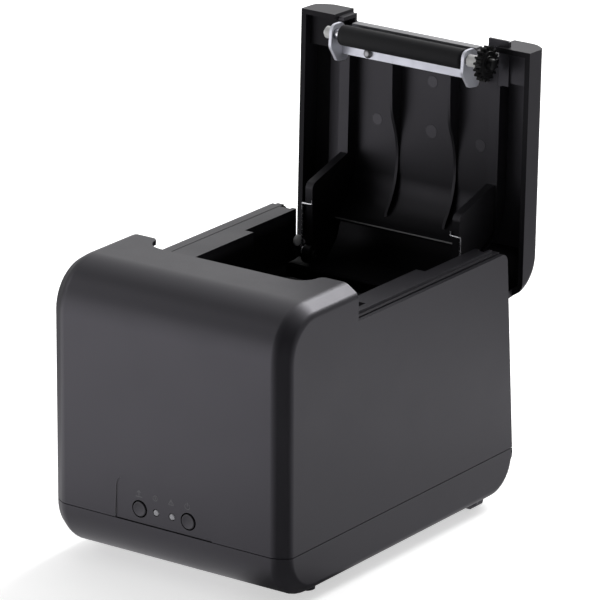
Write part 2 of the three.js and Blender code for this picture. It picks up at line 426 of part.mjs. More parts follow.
// ---- lid liner: roll cradle with guide ribs and the two hinge arms ----
{
  const zR = 150.2, th = 1.6, CR = 25, cy = 146;
  const cradle = (d) => {          // underside curve of the liner, closed position
    const p = [[74.2, zR + d], [cy, zR + d]];
    for (let i = 1; i <= 10; i++) { const a = Math.PI / 2 - (72 * Math.PI / 180) * i / 10; p.push([cy + (CR + d) * Math.cos(a), zR - CR + (CR + d) * Math.sin(a)]); }
    return p;
  };
  const panel = [...cradle(0), ...cradle(th).reverse()].map(p => V2(...p));
  let s = extrudeX(panel.reverse(), -49.9, 49.9);
  // ribs following the paper roll: [y, z] along the free edge
  const crest = [[84.4, 141.8], [98, 142.1], [108.5, 142.7], [113, 143.9], [118, 145.9], [124, 147.8], [130, 149.0], [136, 149.4], [142, 149.0], [148, 147.9], [153, 146.3], [158, 143.9], [164, 140.3]];
  const rib = (x0, x1, pts = crest) => {
    const end = [[168.4, 139.6], [166.9, 142.4], [160, 147.8], [152, 150.5], [cy, zR + 0.8], [84.4, zR + 0.8]];
    return extrudeX([...pts, ...end].map(p => V2(...p)), x0, x1);
  };
  s = s.add(rib(-17.1, -15.5)).add(rib(19.1, 20.7));
  // outer ribs running into the hinge arms
  const arm = (x0, x1) => {
    const k = []; for (let i = 0; i <= 12; i++) { const a = (195 + 165 * i / 12) * Math.PI / 180; k.push([HINGE_Y + 5.2 * Math.cos(a), HINGE_Z + 5.2 * Math.sin(a)]); }
    const front = rounded([[137.6, 143.6], [147.6, 112.6, 4, 4], [174, 113.6]]).map(p => [p.x, p.y]);
    const pts = [[84.4, zR + 0.8], [84.4, 143.6], ...front, ...k, [HINGE_Y + 4.2, 128], [181, 136], [171.6, 139], [166.5, 144], [158, 149.4], [cy, zR + 0.8]];
    return extrudeX(pts.map(p => V2(...p)), x0, x1).subtract(cylX(2.75, -80, 80, HINGE_Y, HINGE_Z, 20));
  };
  s = s.add(arm(-48.2, -43.7)).add(arm(43.7, 48.2));
  for (const [a, b] of [[47.9, 49.9], [-49.9, -47.9]]) s = s.add(box(a, b, 84.4, 168, 143.6, 150.9).subtract(extrudeX([...cradle(0.5).slice(1).map(p => V2(...p)), V2(190, 129), V2(190, 160), V2(cy, 160)], a - 5, b + 5)));
  // front corner blocks beside the platen bracket
  s = s.add(box(44.2, 49.9, 73.4, 84.6, 141.4, 151)).add(box(-49.9, -45.2, 73.4, 84.6, 141.4, 151));
  node('lid_liner', s, 'inner', lid);
}
// ---- platen bracket and what it carries ----
{
  const cheek = (x0, x1) => extrudeX(rounded([[64.4, 124.2, 4, 4], [76, 123.4, 4, 3], [84.6, 129.6, 2, 2], [85.6, 138.6, 2, 2], [70, 138.8, 3, 2], [64.4, 133.4, 3, 2]]), x0, x1)
    .subtract(cylX(2.8, -60, 60, PLATEN_Y, PLATEN_Z, 22));
  let s = union(cheek(38.7, 40.4), cheek(-43.2, -41.5));
  s = s.add(box(-43, 40.2, 77.0, 81.4, 133.8, 135.0));
  s = s.add(box(-43, 40.2, 80.2, 81.4, 134.0, 149.8));
  s = s.subtract(cylZ(1.7, 130, 140, -25.2, 78.6, 14));
  node('platen_bracket', s, 'zinc', lid);
  node('bracket_screw', cylZ(1.5, 133.2, 139.5, -25.2, 78.6, 12).add(cylZ(2.0, 132.2, 133.5, -25.2, 78.6, 16, 2.4)), 'steel', lid);
  node('fixed_knife', extrudeX([V2(65.6, 137.9), V2(68.6, 137.9), V2(79.8, 141.0), V2(79.8, 142.2), V2(68.6, 139.2), V2(66.8, 139.15), V2(66.8, 143.3), V2(65.6, 143.3)], -38.6, 38.4), 'steel', lid);
}
for (const [n, a, b] of [['platen_bush_left', -47.3, -43.5], ['platen_bush_right', 40.8, 49.0]])
  node(n, cylX(3.2, a, b, PLATEN_Y, PLATEN_Z, 22).subtract(cylX(2.6, -60, 60, PLATEN_Y, PLATEN_Z, 20)), 'white', lid);
{
  node('platen_shaft', cylX(2.4, -48.2, 55.6, PLATEN_Y, PLATEN_Z, 18), 'steel', lid);
  node('platen_roller', cylX(PLATEN_R, -PLATEN_HL, PLATEN_HL, PLATEN_Y, PLATEN_Z, 36).subtract(cylX(2.7, -60, 60, PLATEN_Y, PLATEN_Z, 18)), 'rubber', lid);
  let g = extrudeX(gearPoints(PLATEN_Y, PLATEN_Z, 17, GEAR_M, 0.1), GEAR_X, GEAR_X + GEAR_T);
  g = g.subtract(cylX(2.7, 40, 70, PLATEN_Y, PLATEN_Z, 18));
  node('platen_gear', g, 'gear', lid);
}
// ---- lid torsion springs: coil round the pin, leg up along the arm ----
for (const [n, sx] of [['lid_spring_left', -1], ['lid_spring_right', 1]]) {
  const xw = sx * 49.3, xo = sx * 43.4;
  let s = cylX(3.9, sx > 0 ? 48.5 : -50.1, sx > 0 ? 50.1 : -48.5, HINGE_Y, HINGE_Z, 24).subtract(cylX(2.8, -80, 80, HINGE_Y, HINGE_Z, 20));
  s = s.add(rod([[xw, HINGE_Y - 1, HINGE_Z - 3.3], [xw, 178, HINGE_Z - 3.0], [xw, 163, 112.0], [xw, 158.6, 111.9], [(xw + xo) / 2, 158.2, 111.8], [xo, 157.8, 111.9], [xo - sx * 0.2, 156.2, 111.9]], 0.5, 6));
  node(n, s, 'steel', lid);
}

// ---- assembly ----
const lidFrame = new THREE.Group();       // carries the lid round its hinge axis
lidFrame.position.set(0, HINGE_Y, HINGE_Z);
lidFrame.rotation.x = -LID_OPEN * Math.PI / 180;
lid.position.set(0, -HINGE_Y, -HINGE_Z);
lidFrame.add(lid);

const printer = new THREE.Group();
printer.position.set(0, -CENTRE_Y, 0);
printer.add(base, lidFrame);
const root = new THREE.Group();
root.add(printer);
export default root;
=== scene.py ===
# Visual model of the thermal receipt printer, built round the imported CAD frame. Metres, +Z up.
import bpy, bmesh, json, math
import numpy as np
from mathutils import Matrix, Vector


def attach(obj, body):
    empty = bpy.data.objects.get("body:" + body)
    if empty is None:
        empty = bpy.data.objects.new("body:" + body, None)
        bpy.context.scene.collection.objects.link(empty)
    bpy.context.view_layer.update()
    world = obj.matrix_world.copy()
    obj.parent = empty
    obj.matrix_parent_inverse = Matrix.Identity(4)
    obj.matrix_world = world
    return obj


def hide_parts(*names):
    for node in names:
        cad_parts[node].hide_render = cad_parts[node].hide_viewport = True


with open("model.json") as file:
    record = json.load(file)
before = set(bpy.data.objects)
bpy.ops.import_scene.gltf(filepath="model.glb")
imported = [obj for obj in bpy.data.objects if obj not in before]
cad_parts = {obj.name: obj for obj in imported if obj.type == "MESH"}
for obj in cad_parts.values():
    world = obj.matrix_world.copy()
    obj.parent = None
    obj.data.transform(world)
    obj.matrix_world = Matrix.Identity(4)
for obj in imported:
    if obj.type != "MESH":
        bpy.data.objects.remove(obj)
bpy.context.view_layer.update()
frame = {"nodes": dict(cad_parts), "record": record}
NODES = frame["nodes"]
BODY_OF = {n: b for b, ns in frame["record"]["behaviour"]["bodies"].items() for n in ns}
SLOT_OF = {s["node"]: s["material_slot"] for s in frame["record"]["subparts"]}

CY = 0.11496
HINGE = Vector((0, 0.186 - CY, 0.115))
LID_OPEN = math.radians(91.6)
# closed-lid working frame (mm, Y from the front face) to the open lid in the row frame (m)
LID = (Matrix.Translation(HINGE) @ Matrix.Rotation(-LID_OPEN, 4, 'X') @ Matrix.Translation(Vector((0, -0.186, -0.115)))) @ Matrix.Scale(0.001, 4)
BASE = Matrix.Translation(Vector((0, -CY, 0))) @ Matrix.Scale(0.001, 4)

# ------------------------------------------------------------------ materials
def new_mat(name):
    m = bpy.data.materials.new(name)
    m.use_nodes = True
    nt = m.node_tree
    b = nt.nodes["Principled BSDF"]
    return m, nt, b

def tex(nt, kind, **kw):
    n = nt.nodes.new(kind)
    for k, v in kw.items():
        if k in n.inputs: n.inputs[k].default_value = v
        else: setattr(n, k, v)
    return n

def coords(nt, scale=(1, 1, 1)):
    tc = nt.nodes.new("ShaderNodeTexCoord")
    mp = nt.nodes.new("ShaderNodeMapping")
    mp.inputs["Scale"].default_value = scale
    nt.links.new(tc.outputs["Object"], mp.inputs["Vector"])
    return mp.outputs["Vector"]

def ramp(nt, fac, stops):
    r = nt.nodes.new("ShaderNodeValToRGB")
    e = r.color_ramp.elements
    e[0].position, e[0].color = stops[0][0], (*stops[0][1], 1) if len(stops[0][1]) == 3 else stops[0][1]
    e[1].position, e[1].color = stops[-1][0], (*stops[-1][1], 1) if len(stops[-1][1]) == 3 else stops[-1][1]
    for p, c in stops[1:-1]:
        k = e.new(p); k.color = (*c, 1)
    nt.links.new(fac, r.inputs["Fac"])
    return r.outputs["Color"]

def bump(nt, b, height, strength, dist, under=None):
    n = nt.nodes.new("ShaderNodeBump")
    n.inputs["Strength"].default_value = strength
    n.inputs["Distance"].default_value = dist
    nt.links.new(height, n.inputs["Height"])
    if under is not None: nt.links.new(under, n.inputs["Normal"])
    nt.links.new(n.outputs["Normal"], b.inputs["Normal"])
    return n.outputs["Normal"]

def plastic(name, lo, hi, rough, grain=2600, grain_h=0.000012, strength=0.35, spec=0.5, rspread=0.05, mottle=35, tint=(1, 1, 1)):
    """Moulded plastic: fine spark-eroded grain, faint tone and gloss variation."""
    m, nt, b = new_mat(name)
    v = coords(nt)
    big = tex(nt, "ShaderNodeTexNoise", Scale=mottle, Detail=3.0, Roughness=0.55)
    nt.links.new(v, big.inputs["Vector"])
    col = ramp(nt, big.outputs["Fac"], [(0.3, lo), (0.7, hi)])
    nt.links.new(col, b.inputs["Base Color"])
    fine = tex(nt, "ShaderNodeTexNoise", Scale=grain, Detail=2.0, Roughness=0.6)
    nt.links.new(v, fine.inputs["Vector"])
    mr = nt.nodes.new("ShaderNodeMapRange")
    mr.inputs["From Min"].default_value, mr.inputs["From Max"].default_value = 0.3, 0.7
    mr.inputs["To Min"].default_value, mr.inputs["To Max"].default_value = rough - rspread, rough + rspread
    mix = nt.nodes.new("ShaderNodeMath"); mix.operation = 'MULTIPLY_ADD'
    mix.inputs[1].default_value, mix.inputs[2].default_value = 0.5, 0.25
    nt.links.new(fine.outputs["Fac"], mix.inputs[0])
    add = nt.nodes.new("ShaderNodeMath"); add.operation = 'MULTIPLY_ADD'
    add.inputs[1].default_value = 0.5
    nt.links.new(big.outputs["Fac"], add.inputs[0]); nt.links.new(mix.outputs[0], add.inputs[2])
    sub = nt.nodes.new("ShaderNodeMath"); sub.operation = 'SUBTRACT'; sub.inputs[1].default_value = 0.25
    nt.links.new(add.outputs[0], sub.inputs[0])
    nt.links.new(sub.outputs[0], mr.inputs["Value"])
    nt.links.new(mr.outputs["Result"], b.inputs["Roughness"])
    bump(nt, b, fine.outputs["Fac"], strength, grain_h)
    b.inputs["IOR"].default_value = 1.5
    b.inputs["Specular IOR Level"].default_value = spec
    b.inputs["Specular Tint"].default_value = (*tint, 1)
    return m

def metal(name, lo, hi, rough, stretch=(1, 1, 1), scale=900, strength=0.25, metallic=1.0, rspread=0.08, h=0.000008):
    m, nt, b = new_mat(name)
    v = coords(nt, stretch)
    n1 = tex(nt, "ShaderNodeTexNoise", Scale=scale, Detail=4.0, Roughness=0.6)
    nt.links.new(v, n1.inputs["Vector"])
    n2 = tex(nt, "ShaderNodeTexNoise", Scale=scale * 0.07, Detail=3.0, Roughness=0.5)
    nt.links.new(v, n2.inputs["Vector"])
    col = ramp(nt, n2.outputs["Fac"], [(0.3, lo), (0.7, hi)])
    nt.links.new(col, b.inputs["Base Color"])
    mr = nt.nodes.new("ShaderNodeMapRange")
    mr.inputs["From Min"].default_value, mr.inputs["From Max"].default_value = 0.3, 0.7
    mr.inputs["To Min"].default_value, mr.inputs["To Max"].default_value = rough - rspread, rough + rspread
    nt.links.new(n1.outputs["Fac"], mr.inputs["Value"])
    nt.links.new(mr.outputs["Result"], b.inputs["Roughness"])
    b.inputs["Metallic"].default_value = metallic
    bump(nt, b, n1.outputs["Fac"], strength, h)
    return m

def painted_shade_by_height(m, z0, z1, low):
    """Darkens a plastic's colour and lowers its specular level below a height: painted shade, darker towards the
    bottom.
    """
    nt = m.node_tree; b = nt.nodes["Principled BSDF"]
    old = b.inputs["Base Color"].links[0].from_socket
    tc = nt.nodes.new("ShaderNodeTexCoord"); sx = nt.nodes.new("ShaderNodeSeparateXYZ")
    nt.links.new(tc.outputs["Object"], sx.inputs[0])
    mr = nt.nodes.new("ShaderNodeMapRange"); mr.interpolation_type = 'SMOOTHSTEP'
    for k, v in zip(("From Min", "From Max", "To Min", "To Max"), (z0, z1, low, 1.0)): mr.inputs[k].default_value = v
    nt.links.new(sx.outputs["Z"], mr.inputs["Value"])
    mul = nt.nodes.new("ShaderNodeVectorMath"); mul.operation = 'SCALE'
    nt.links.new(old, mul.inputs[0]); nt.links.new(mr.outputs["Result"], mul.inputs["Scale"])
    nt.links.new(mul.outputs[0], b.inputs["Base Color"])
    m2 = nt.nodes.new("ShaderNodeMath"); m2.operation = 'MULTIPLY'; m2.inputs[1].default_value = b.inputs["Specular IOR Level"].default_value
    nt.links.new(mr.outputs["Result"], m2.inputs[0]); nt.links.new(m2.outputs[0], b.inputs["Specular IOR Level"])
    return m

M = {}
COOL = (0.97, 0.94, 1.05)
M["case"] = plastic("case_plastic", (0.0135, 0.0130, 0.0155), (0.0150, 0.0145, 0.0172), 0.40, tint=COOL)
M["inner"] = plastic("inner_plastic", (0.0105, 0.0102, 0.0118), (0.0122, 0.0119, 0.0136), 0.40, grain=1900, strength=0.25, tint=COOL)
# bin plastic, darker and less glossy low in the bin: painted shade
M["bin"] = painted_shade_by_height(plastic("bin_plastic", (0.0135, 0.0130, 0.0155), (0.0150, 0.0145, 0.0172), 0.42, grain=1900, strength=0.25, tint=COOL), 0.129, 0.1348, 0.22)
M["rubber"] = plastic("platen_rubber", (0.0120, 0.0120, 0.0135), (0.0150, 0.0150, 0.0168), 0.66, grain=5200, grain_h=0.00001, strength=0.3, spec=0.18)
M["lid"] = plastic("lid_plastic", (0.0120, 0.0116, 0.0138), (0.0135, 0.0130, 0.0153), 0.41, spec=0.37, tint=COOL)
# darker copy of the lid plastic for the lid's inner wall: painted shade
M["lid_deep"] = plastic("lid_inner_wall_painted_shade", (0.0040, 0.0039, 0.0045), (0.0050, 0.0049, 0.0056), 0.50, spec=0.12, tint=COOL)
M["dark_pin"] = plastic("hinge_boss_plastic", (0.0060, 0.0060, 0.0066), (0.0075, 0.0075, 0.0082), 0.45, spec=0.25)
M["steel"] = metal("bright_steel", (0.60, 0.60, 0.63), (0.68, 0.68, 0.71), 0.24, stretch=(0.15, 1, 1))
M["zinc"] = metal("zinc_sheet", (0.56, 0.57, 0.63), (0.66, 0.67, 0.74), 0.46, scale=260, metallic=0.55)
M["frame"] = metal("blackened_frame", (0.10, 0.10, 0.105), (0.14, 0.14, 0.147), 0.45, scale=260, metallic=0.85)
M["alu"] = metal("heat_sink_alu", (0.30, 0.30, 0.31), (0.36, 0.36, 0.37), 0.45, stretch=(0.1, 1, 1))
M["gear"] = plastic("black_acetal", (0.0035, 0.0035, 0.0040), (0.0050, 0.0050, 0.0056), 0.42, grain=1500, strength=0.15, spec=0.16)
M["white"] = plastic("light_acetal", (0.50, 0.50, 0.49), (0.56, 0.56, 0.555), 0.38, grain=1500, strength=0.15)
M["board"] = plastic("solder_mask", (0.010, 0.085, 0.030), (0.014, 0.105, 0.038), 0.30, grain=700, strength=0.2)
M["lens"] = plastic("lamp_lens", (0.27, 0.27, 0.29), (0.32, 0.32, 0.34), 0.22, grain=900, strength=0.1)
M["button"] = plastic("button_plastic", (0.0085, 0.0085, 0.0095), (0.0100, 0.0100, 0.0112), 0.36, tint=COOL)
M["ink"] = plastic("pad_print", (0.085, 0.085, 0.092), (0.105, 0.105, 0.114), 0.50, grain=1500, strength=0.1, spec=0.4)
M["gold"] = metal("gold_contact", (0.72, 0.52, 0.20), (0.80, 0.60, 0.26), 0.25)

# ------------------------------------------------------------------ mesh helpers
def put(obj, node, mat=None, body=None, replaces=True):
    """Adds a finished object that stands for a node."""
    if obj.name not in bpy.context.scene.collection.objects:
        bpy.context.scene.collection.objects.link(obj)
    obj.data.materials.clear()
    obj.data.materials.append(M[mat or SLOT_OF[node]])
    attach(obj, body or BODY_OF[node])
    if replaces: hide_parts(node)
    return obj

def smooth(me, angle=30):
    me.polygons.foreach_set("use_smooth", [True] * len(me.polygons))
    me.update()
    bm = bmesh.new(); bm.from_mesh(me)
    lim = math.radians(angle)
    for e in bm.edges:
        e.smooth = not (len(e.link_faces) == 2 and e.calc_face_angle(0) > lim)
    bm.to_mesh(me); bm.free()

def clean(node, dissolve=0.5):
    """A copy of a node's mesh with its flat faces merged."""
    me = NODES[node].data.copy()
    bm = bmesh.new(); bm.from_mesh(me)
    bmesh.ops.remove_doubles(bm, verts=bm.verts, dist=2e-6)
    bmesh.ops.dissolve_degenerate(bm, edges=bm.edges, dist=2e-6)
    bmesh.ops.dissolve_limit(bm, angle_limit=math.radians(dissolve), verts=bm.verts, edges=bm.edges, use_dissolve_boundaries=False)
    return me, bm

def bevelled(name, node, width=0.00025, seg=2, weight=None, limit=25, big=None, pre=None):
    """Copy of a node with rounded edges. weight(edge, mid) gives each sharp edge its share of the widest radius."""
    me, bm = clean(node)
    if pre: pre(bm)
    layer = bm.edges.layers.float.get("bevel_weight_edge") or bm.edges.layers.float.new("bevel_weight_edge")
    lim = math.radians(limit)
    def mark(bm, layer, want):
        n = 0
        for e in bm.edges:
            w = 0.0
            if len(e.link_faces) == 2 and e.calc_face_angle(0) > lim:
                k = width
                if weight is not None:
                    q = weight(e, (e.verts[0].co + e.verts[1].co) / 2)
                    if q is not None: k = q
                w = want(k); n += w > 0
            e[layer] = w
        return n
    def run(me, size, seg, clamp):
        obj = bpy.data.objects.new(name, me)
        bpy.context.scene.collection.objects.link(obj)
        md = obj.modifiers.new("bevel", 'BEVEL')
        md.limit_method = 'WEIGHT'; md.width = size; md.segments = seg
        md.use_clamp_overlap = clamp; md.harden_normals = False; md.miter_outer = 'MITER_ARC'; md.offset_type = 'OFFSET'
        dg = bpy.context.evaluated_depsgraph_get()
        out = bpy.data.meshes.new_from_object(obj.evaluated_get(dg))
        bpy.data.objects.remove(obj)
        return out
    if big:
        # the wide roundings first, on their own
        n = mark(bm, layer, lambda k: k / big if k > 0.001 else 0.0)
        bm.to_mesh(me); bm.free()
        if n: me = run(me, big, 6, False)
        bm = bmesh.new(); bm.from_mesh(me)
        layer = bm.edges.layers.float.get("bevel_weight_edge") or bm.edges.layers.float.new("bevel_weight_edge")
    top = 0.0007
    mark(bm, layer, lambda k: k / top if k <= 0.001 else 0.0)
    bm.to_mesh(me); bm.free()
    out = run(me, top, seg, True)
    obj = bpy.data.objects.new(name, out)
    bpy.context.scene.collection.objects.link(obj)
    out.name = name
    smooth(out, 34)
    add_weighted(obj)
    return obj

def add_weighted(obj):
    md = obj.modifiers.new("wn", 'WEIGHTED_NORMAL')
    md.keep_sharp = True
    md.weight = 80
    dg = bpy.context.evaluated_depsgraph_get()
    out = bpy.data.meshes.new_from_object(obj.evaluated_get(dg))
    obj.modifiers.clear()
    obj.data = out

def from_bm(name, bm, angle=34):
    me = bpy.data.meshes.new(name)
    bmesh.ops.recalc_face_normals(bm, faces=bm.faces)
    bm.to_mesh(me); bm.free()
    smooth(me, angle)
    return bpy.data.objects.new(name, me)

def lathe(bm, profile, c, axis, n=48):
    """Closed solid of revolution. profile: (along, radius) pairs from start to end; ends at radius 0 close it."""
    ax = {'X': (Vector((1, 0, 0)), Vector((0, 1, 0)), Vector((0, 0, 1))),
          'Y': (Vector((0, 1, 0)), Vector((0, 0, 1)), Vector((1, 0, 0))),
          'Z': (Vector((0, 0, 1)), Vector((1, 0, 0)), Vector((0, 1, 0)))}[axis]
    c = Vector(c); rings = []
    for a, r in profile:
        p = c + ax[0] * a
        if r < 1e-9: rings.append([bm.verts.new(p)])
        else: rings.append([bm.verts.new(p + (ax[1] * math.cos(t) + ax[2] * math.sin(t)) * r) for t in (2 * math.pi * i / n for i in range(n))])
    for a, b in zip(rings, rings[1:]):
        if len(a) == 1 and len(b) == 1: continue
        for i in range(n):
            j = (i + 1) % n
            if len(a) == 1: bm.faces.new((a[0], b[i], b[j]))
            elif len(b) == 1: bm.faces.new((a[i], b[0], a[j]))
            else: bm.faces.new((a[i], b[i], b[j], a[j]))
    if len(rings[0]) > 1 and profile[0] != profile[-1]:
        bm.faces.new(rings[0]); bm.faces.new(rings[-1])
    if profile[0] == profile[-1]:
        bmesh.ops.remove_doubles(bm, verts=bm.verts, dist=1e-7)
    return rings

def rbox(bm, lo, hi, r=0.0002, seg=2, m=None):
    """A box with rounded edges."""
    lo, hi = Vector(lo), Vector(hi)
    g = bmesh.ops.create_cube(bm, size=1.0, matrix=Matrix.Translation((lo + hi) / 2) @ Matrix.Diagonal((*(hi - lo), 1)))
    es = list({e for v in g["verts"] for e in v.link_edges})
    res = bmesh.ops.bevel(bm, geom=es, offset=r, segments=seg, affect='EDGES', profile=0.5)
    if m is not None:
        vs = list({v for f in res["faces"] for v in f.verts} | {v for v in g["verts"] if v.is_valid})
        bmesh.ops.transform(bm, matrix=m, verts=vs)

def tube(name, pts, r, sides=14, closed_ends=True, sub=None):
    """Round wire through the points, straight from one to the next, as a mesh."""
    P = [Vector(p) for p in pts]
    cu = bpy.data.curves.new(name + "_c", 'CURVE'); cu.dimensions = '3D'
    sp = cu.splines.new('POLY'); sp.points.add(len(P) - 1)
    for k, p in enumerate(P): sp.points[k].co = (*p, 1)
    cu.bevel_depth = r; cu.bevel_resolution = max(2, sides // 4); cu.use_fill_caps = True
    o = bpy.data.objects.new(name + "_t", cu)
    bpy.context.scene.collection.objects.link(o)
    dg = bpy.context.evaluated_depsgraph_get()
    me = bpy.data.meshes.new_from_object(o.evaluated_get(dg))
    bpy.data.objects.remove(o)
    me.name = name
    smooth(me, 50)
    return bpy.data.objects.new(name, me)

def catmull(pts, per=8):
    P = [Vector(p) for p in pts]; out = []
    for i in range(len(P) - 1):
        a, b, c, d = P[max(i - 1, 0)], P[i], P[i + 1], P[min(i + 2, len(P) - 1)]
        for k in range(per):
            t = k / per
            out.append(0.5 * ((2 * b) + (-a + c) * t + (2 * a - 5 * b + 4 * c - d) * t * t + (-a + 3 * b - 3 * c + d) * t ** 3))
    out.append(P[-1])
    return out

# ------------------------------------------------------------------ shells
def chamfer_weight(hx, cx, small, wide):
    """Wide radius on the outer side chamfer's two edges, small elsewhere."""
    def f(e, mid):
        a, b = e.verts[0].co, e.verts[1].co
        x0, x1 = abs(a.x), abs(b.x)
        if abs(x0 - x1) < 2e-5 and (abs(x0 - hx) < 3e-5 or abs(x0 - cx) < 3e-5):
            ang = math.degrees(e.calc_face_angle(0))
            if 25 < ang < 62: return wide
        return small
    return f

WIDE = 0.0021
def upper_weight(e, mid):
    """The side chamfers are rounded wide, the button recess gets a soft rim, the rest a fine one."""
    y = (mid.y + CY) * 1000; z = mid.z * 1000; x = mid.x * 1000
    if y < 1.4 and -34 < x < 30 and 30.2 < z < 54.5 and math.hypot(x + 17, z - 37) > 5.5 and math.hypot(x - 13, z - 37) > 5.5 \
            and math.hypot(x + 6.8, z - 37.2) > 2.6 and math.hypot(x - 3.0, z - 37.2) > 2.6:
        return 0.0003
    if abs(z - 136.8) < 0.05 and abs(x) > 66: return 0.0006
    return chamfer_weight(0.0725, 0.065, 0.00022, WIDE)(e, mid)

def lid_weight(e, mid):
    """Chamfers and the ends of the horns are rounded wide."""
    a, b = e.verts[0].co, e.verts[1].co
    ang = math.degrees(e.calc_face_angle(0))
    if min(a.z, b.z) > 0.2375 and abs(mid.x) > 0.0505: return 0.0012 if ang > 60 else 0.0024
    return chamfer_weight(0.071, 0.0635, 0.00025, 0.0024)(e, mid)

def liner_weight(e, mid):
    q = LID.inverted() @ mid
    if q.z < 137.5 and abs(q.y - 170) < 4 and abs(e.verts[0].co.x - e.verts[1].co.x) > 0.02: return 0.0007
    return 0.0004

def higher_rail(bm):
    for v in bm.verts:
        if abs(v.co.z - 0.1385) < 2e-5: v.co.z = 0.13905 if v.co.x > 0 else 0.13756

def shallow_recess(bm):
    for v in bm.verts:
        y = (v.co.y + CY) * 1000
        if abs(y - 1.0) < 0.03 and -33 < v.co.x * 1000 < 29 and 29.5 < v.co.z * 1000 < 54:
            v.co.y = (0.62 - 0.28 * (v.co.z * 1000 - 30) / 23) / 1000 - CY

up = put(bevelled("upper_case_skin", "upper_case", 0.00022, 5, upper_weight, big=WIDE, pre=shallow_recess), "upper_case")
# the rim of the button recess is coloured much lighter than the case: a painted highlight where it catches a little
# light
M["rim"] = plastic("recess_rim_painted_highlight", (0.15, 0.15, 0.155), (0.19, 0.19, 0.195), 0.5, grain=1500, strength=0.15, spec=0.4)
up.data.materials.append(M["rim"])
for f in up.data.polygons:
    y = (f.center.y + CY) * 1000; x = f.center.x * 1000; z = f.center.z * 1000
    if 0.01 < y < 0.7 and f.normal.y > -0.97 and (abs(x + 32.3) < 1.6 and 30 < z < 54 or -33 < x < 29 and 49 < z < 54.5) and max(v for v in (abs(f.normal.x), abs(f.normal.z))) > 0.2: f.material_index = 1
lo = put(bevelled("bottom_case_skin", "bottom_case", 0.00022, 5, chamfer_weight(0.0725, 0.065, 0.00022, WIDE), big=WIDE), "bottom_case")
lc = put(bevelled("lid_cover_skin", "lid_cover", 0.00025, 5, lid_weight, big=0.0024), "lid_cover", "lid")
# the lid's inner wall behind the liner, and the downward faces at its left end, get a darker copy of the lid plastic:
# painted shade
lc.data.materials.append(M["lid_deep"])
inv = LID.inverted(); rot = inv.to_3x3().normalized()
for f in lc.data.polygons:
    q = inv @ f.center; n = rot @ f.normal
    if q.y > 84 and q.z < 153.2 and abs(q.x) < 68.6 and q.y < 192.3 and n.dot(Vector((0, 150, 118)) - q) > 0 and (abs(n.x) < 0.7 or q.z < 137.0): f.material_index = 1
    if q.x < -49.5 and n.z < -0.5: f.material_index = 1
M["liner"] = plastic("liner_plastic", (0.0095, 0.0092, 0.0106), (0.0110, 0.0107, 0.0124), 0.41, grain=1900, strength=0.25, spec=0.33, tint=COOL)
# the liner darkens and loses gloss towards its lower end: painted shade
painted_shade_by_height(M["liner"], 0.130, 0.165, 0.5)
put(bevelled("lid_liner_form", "lid_liner", 0.0004, 3, liner_weight), "lid_liner", "liner")
M["knife"] = metal("ground_blade", (0.20, 0.20, 0.21), (0.27, 0.27, 0.28), 0.45, scale=420)
for n, w, mat in [("paper_bin", 0.00035, "bin"), ("mech_frame", 0.00015, "frame"), ("platen_bracket", 0.00025, None), ("cutter_frame", 0.0002, "frame"),
             ("platen_latch", 0.0002, "frame"), ("heat_sink", 0.00015, None), ("print_head", 0.0001, None), ("foot_rear_left", 0.0004, None), ("foot_rear_right", 0.0004, None),
             ("usb_socket", 0.00015, None), ("network_socket", 0.00015, None), ("drawer_socket", 0.0002, None), ("power_socket", 0.0002, None),
             ("fixed_knife", 0.00008, "knife"), ("near_end_sensor", 0.0003, None),
             ("idler_gear", 0.00008, None), ("motor_pinion", 0.00008, None), ("platen_gear", 0.0001, None), ("cutter_pinion", 0.00008, None),
             ("feed_motor", 0.0003, None), ("cutter_motor", 0.0003, None), ("moving_knife", 0.00008, None)]:
    put(bevelled(n + "_form", n, w, 2, pre=higher_rail if n == "paper_bin" else None), n, mat)

# ------------------------------------------------------------------ pieces modelled afresh, in mm of the fit frame or of the closed lid
def solid(name, bm, m, angle=34):
    bmesh.ops.transform(bm, matrix=m, verts=bm.verts)
    return from_bm(name, bm, angle)

for n, x in (("feed_button", -17), ("power_button", 13)):
    bm = bmesh.new()
    lathe(bm, [(0.44, 0), (0.38, 1.6), (0.22, 2.7), (0.06, 3.3), (0.02, 3.5), (0.10, 3.72), (0.34, 3.92), (0.7, 4.0), (1.8, 4.02), (4.9, 4.02), (4.9, 5.4), (5.0, 5.5), (5.8, 5.5), (5.9, 5.4), (5.9, 0)], (x, 0, 37), 'Y', 56)
    put(solid(n + "_cap", bm, BASE, 50), n, "button")
for n, x in (("power_lens", -6.8), ("error_lens", 3.0)):
    bm = bmesh.new()
    lathe(bm, [(0.30, 0), (0.31, 0.6), (0.34, 1.15), (0.45, 1.45), (0.68, 1.62), (1.2, 1.68), (5.8, 1.7), (5.85, 1.15), (7.3, 1.15), (7.3, 0)], (x, 0, 37.2), 'Y', 40)
    put(solid(n + "_dome", bm, BASE, 50), n, "lens")

def flat_icon(name, strokes, x, z, w=0.42):
    """Pad-printed sign: short flat strokes on the recess floor, in mm about (x, z)."""
    bm = bmesh.new()
    for pts in strokes:
        for (ax, az), (bx_, bz) in zip(pts, pts[1:]):
            d = Vector((bx_ - ax, bz - az)); L = d.length
            if L < 1e-6: continue
            d /= L; nrm = Vector((-d.y, d.x)) * (w / 2); d = d * (w * 0.18)
            q = [(ax - d.x + nrm.x, az - d.y + nrm.y), (bx_ + d.x + nrm.x, bz + d.y + nrm.y), (bx_ + d.x - nrm.x, bz + d.y - nrm.y), (ax - d.x - nrm.x, az - d.y - nrm.y)]
            fy = lambda v: 0.62 - 0.28 * (z + v - 30) / 23
            f = [bm.verts.new((x + u, fy(v) - 0.03, z + v)) for u, v in q]; k = [bm.verts.new((x + u, fy(v) + 0.03, z + v)) for u, v in q]
            bm.faces.new(f); bm.faces.new(k[::-1])
            for i in range(4): bm.faces.new((f[i], k[i], k[(i + 1) % 4], f[(i + 1) % 4]))
    o = solid(name, bm, BASE)
    return put(o, "upper_case", "ink", replaces=False)
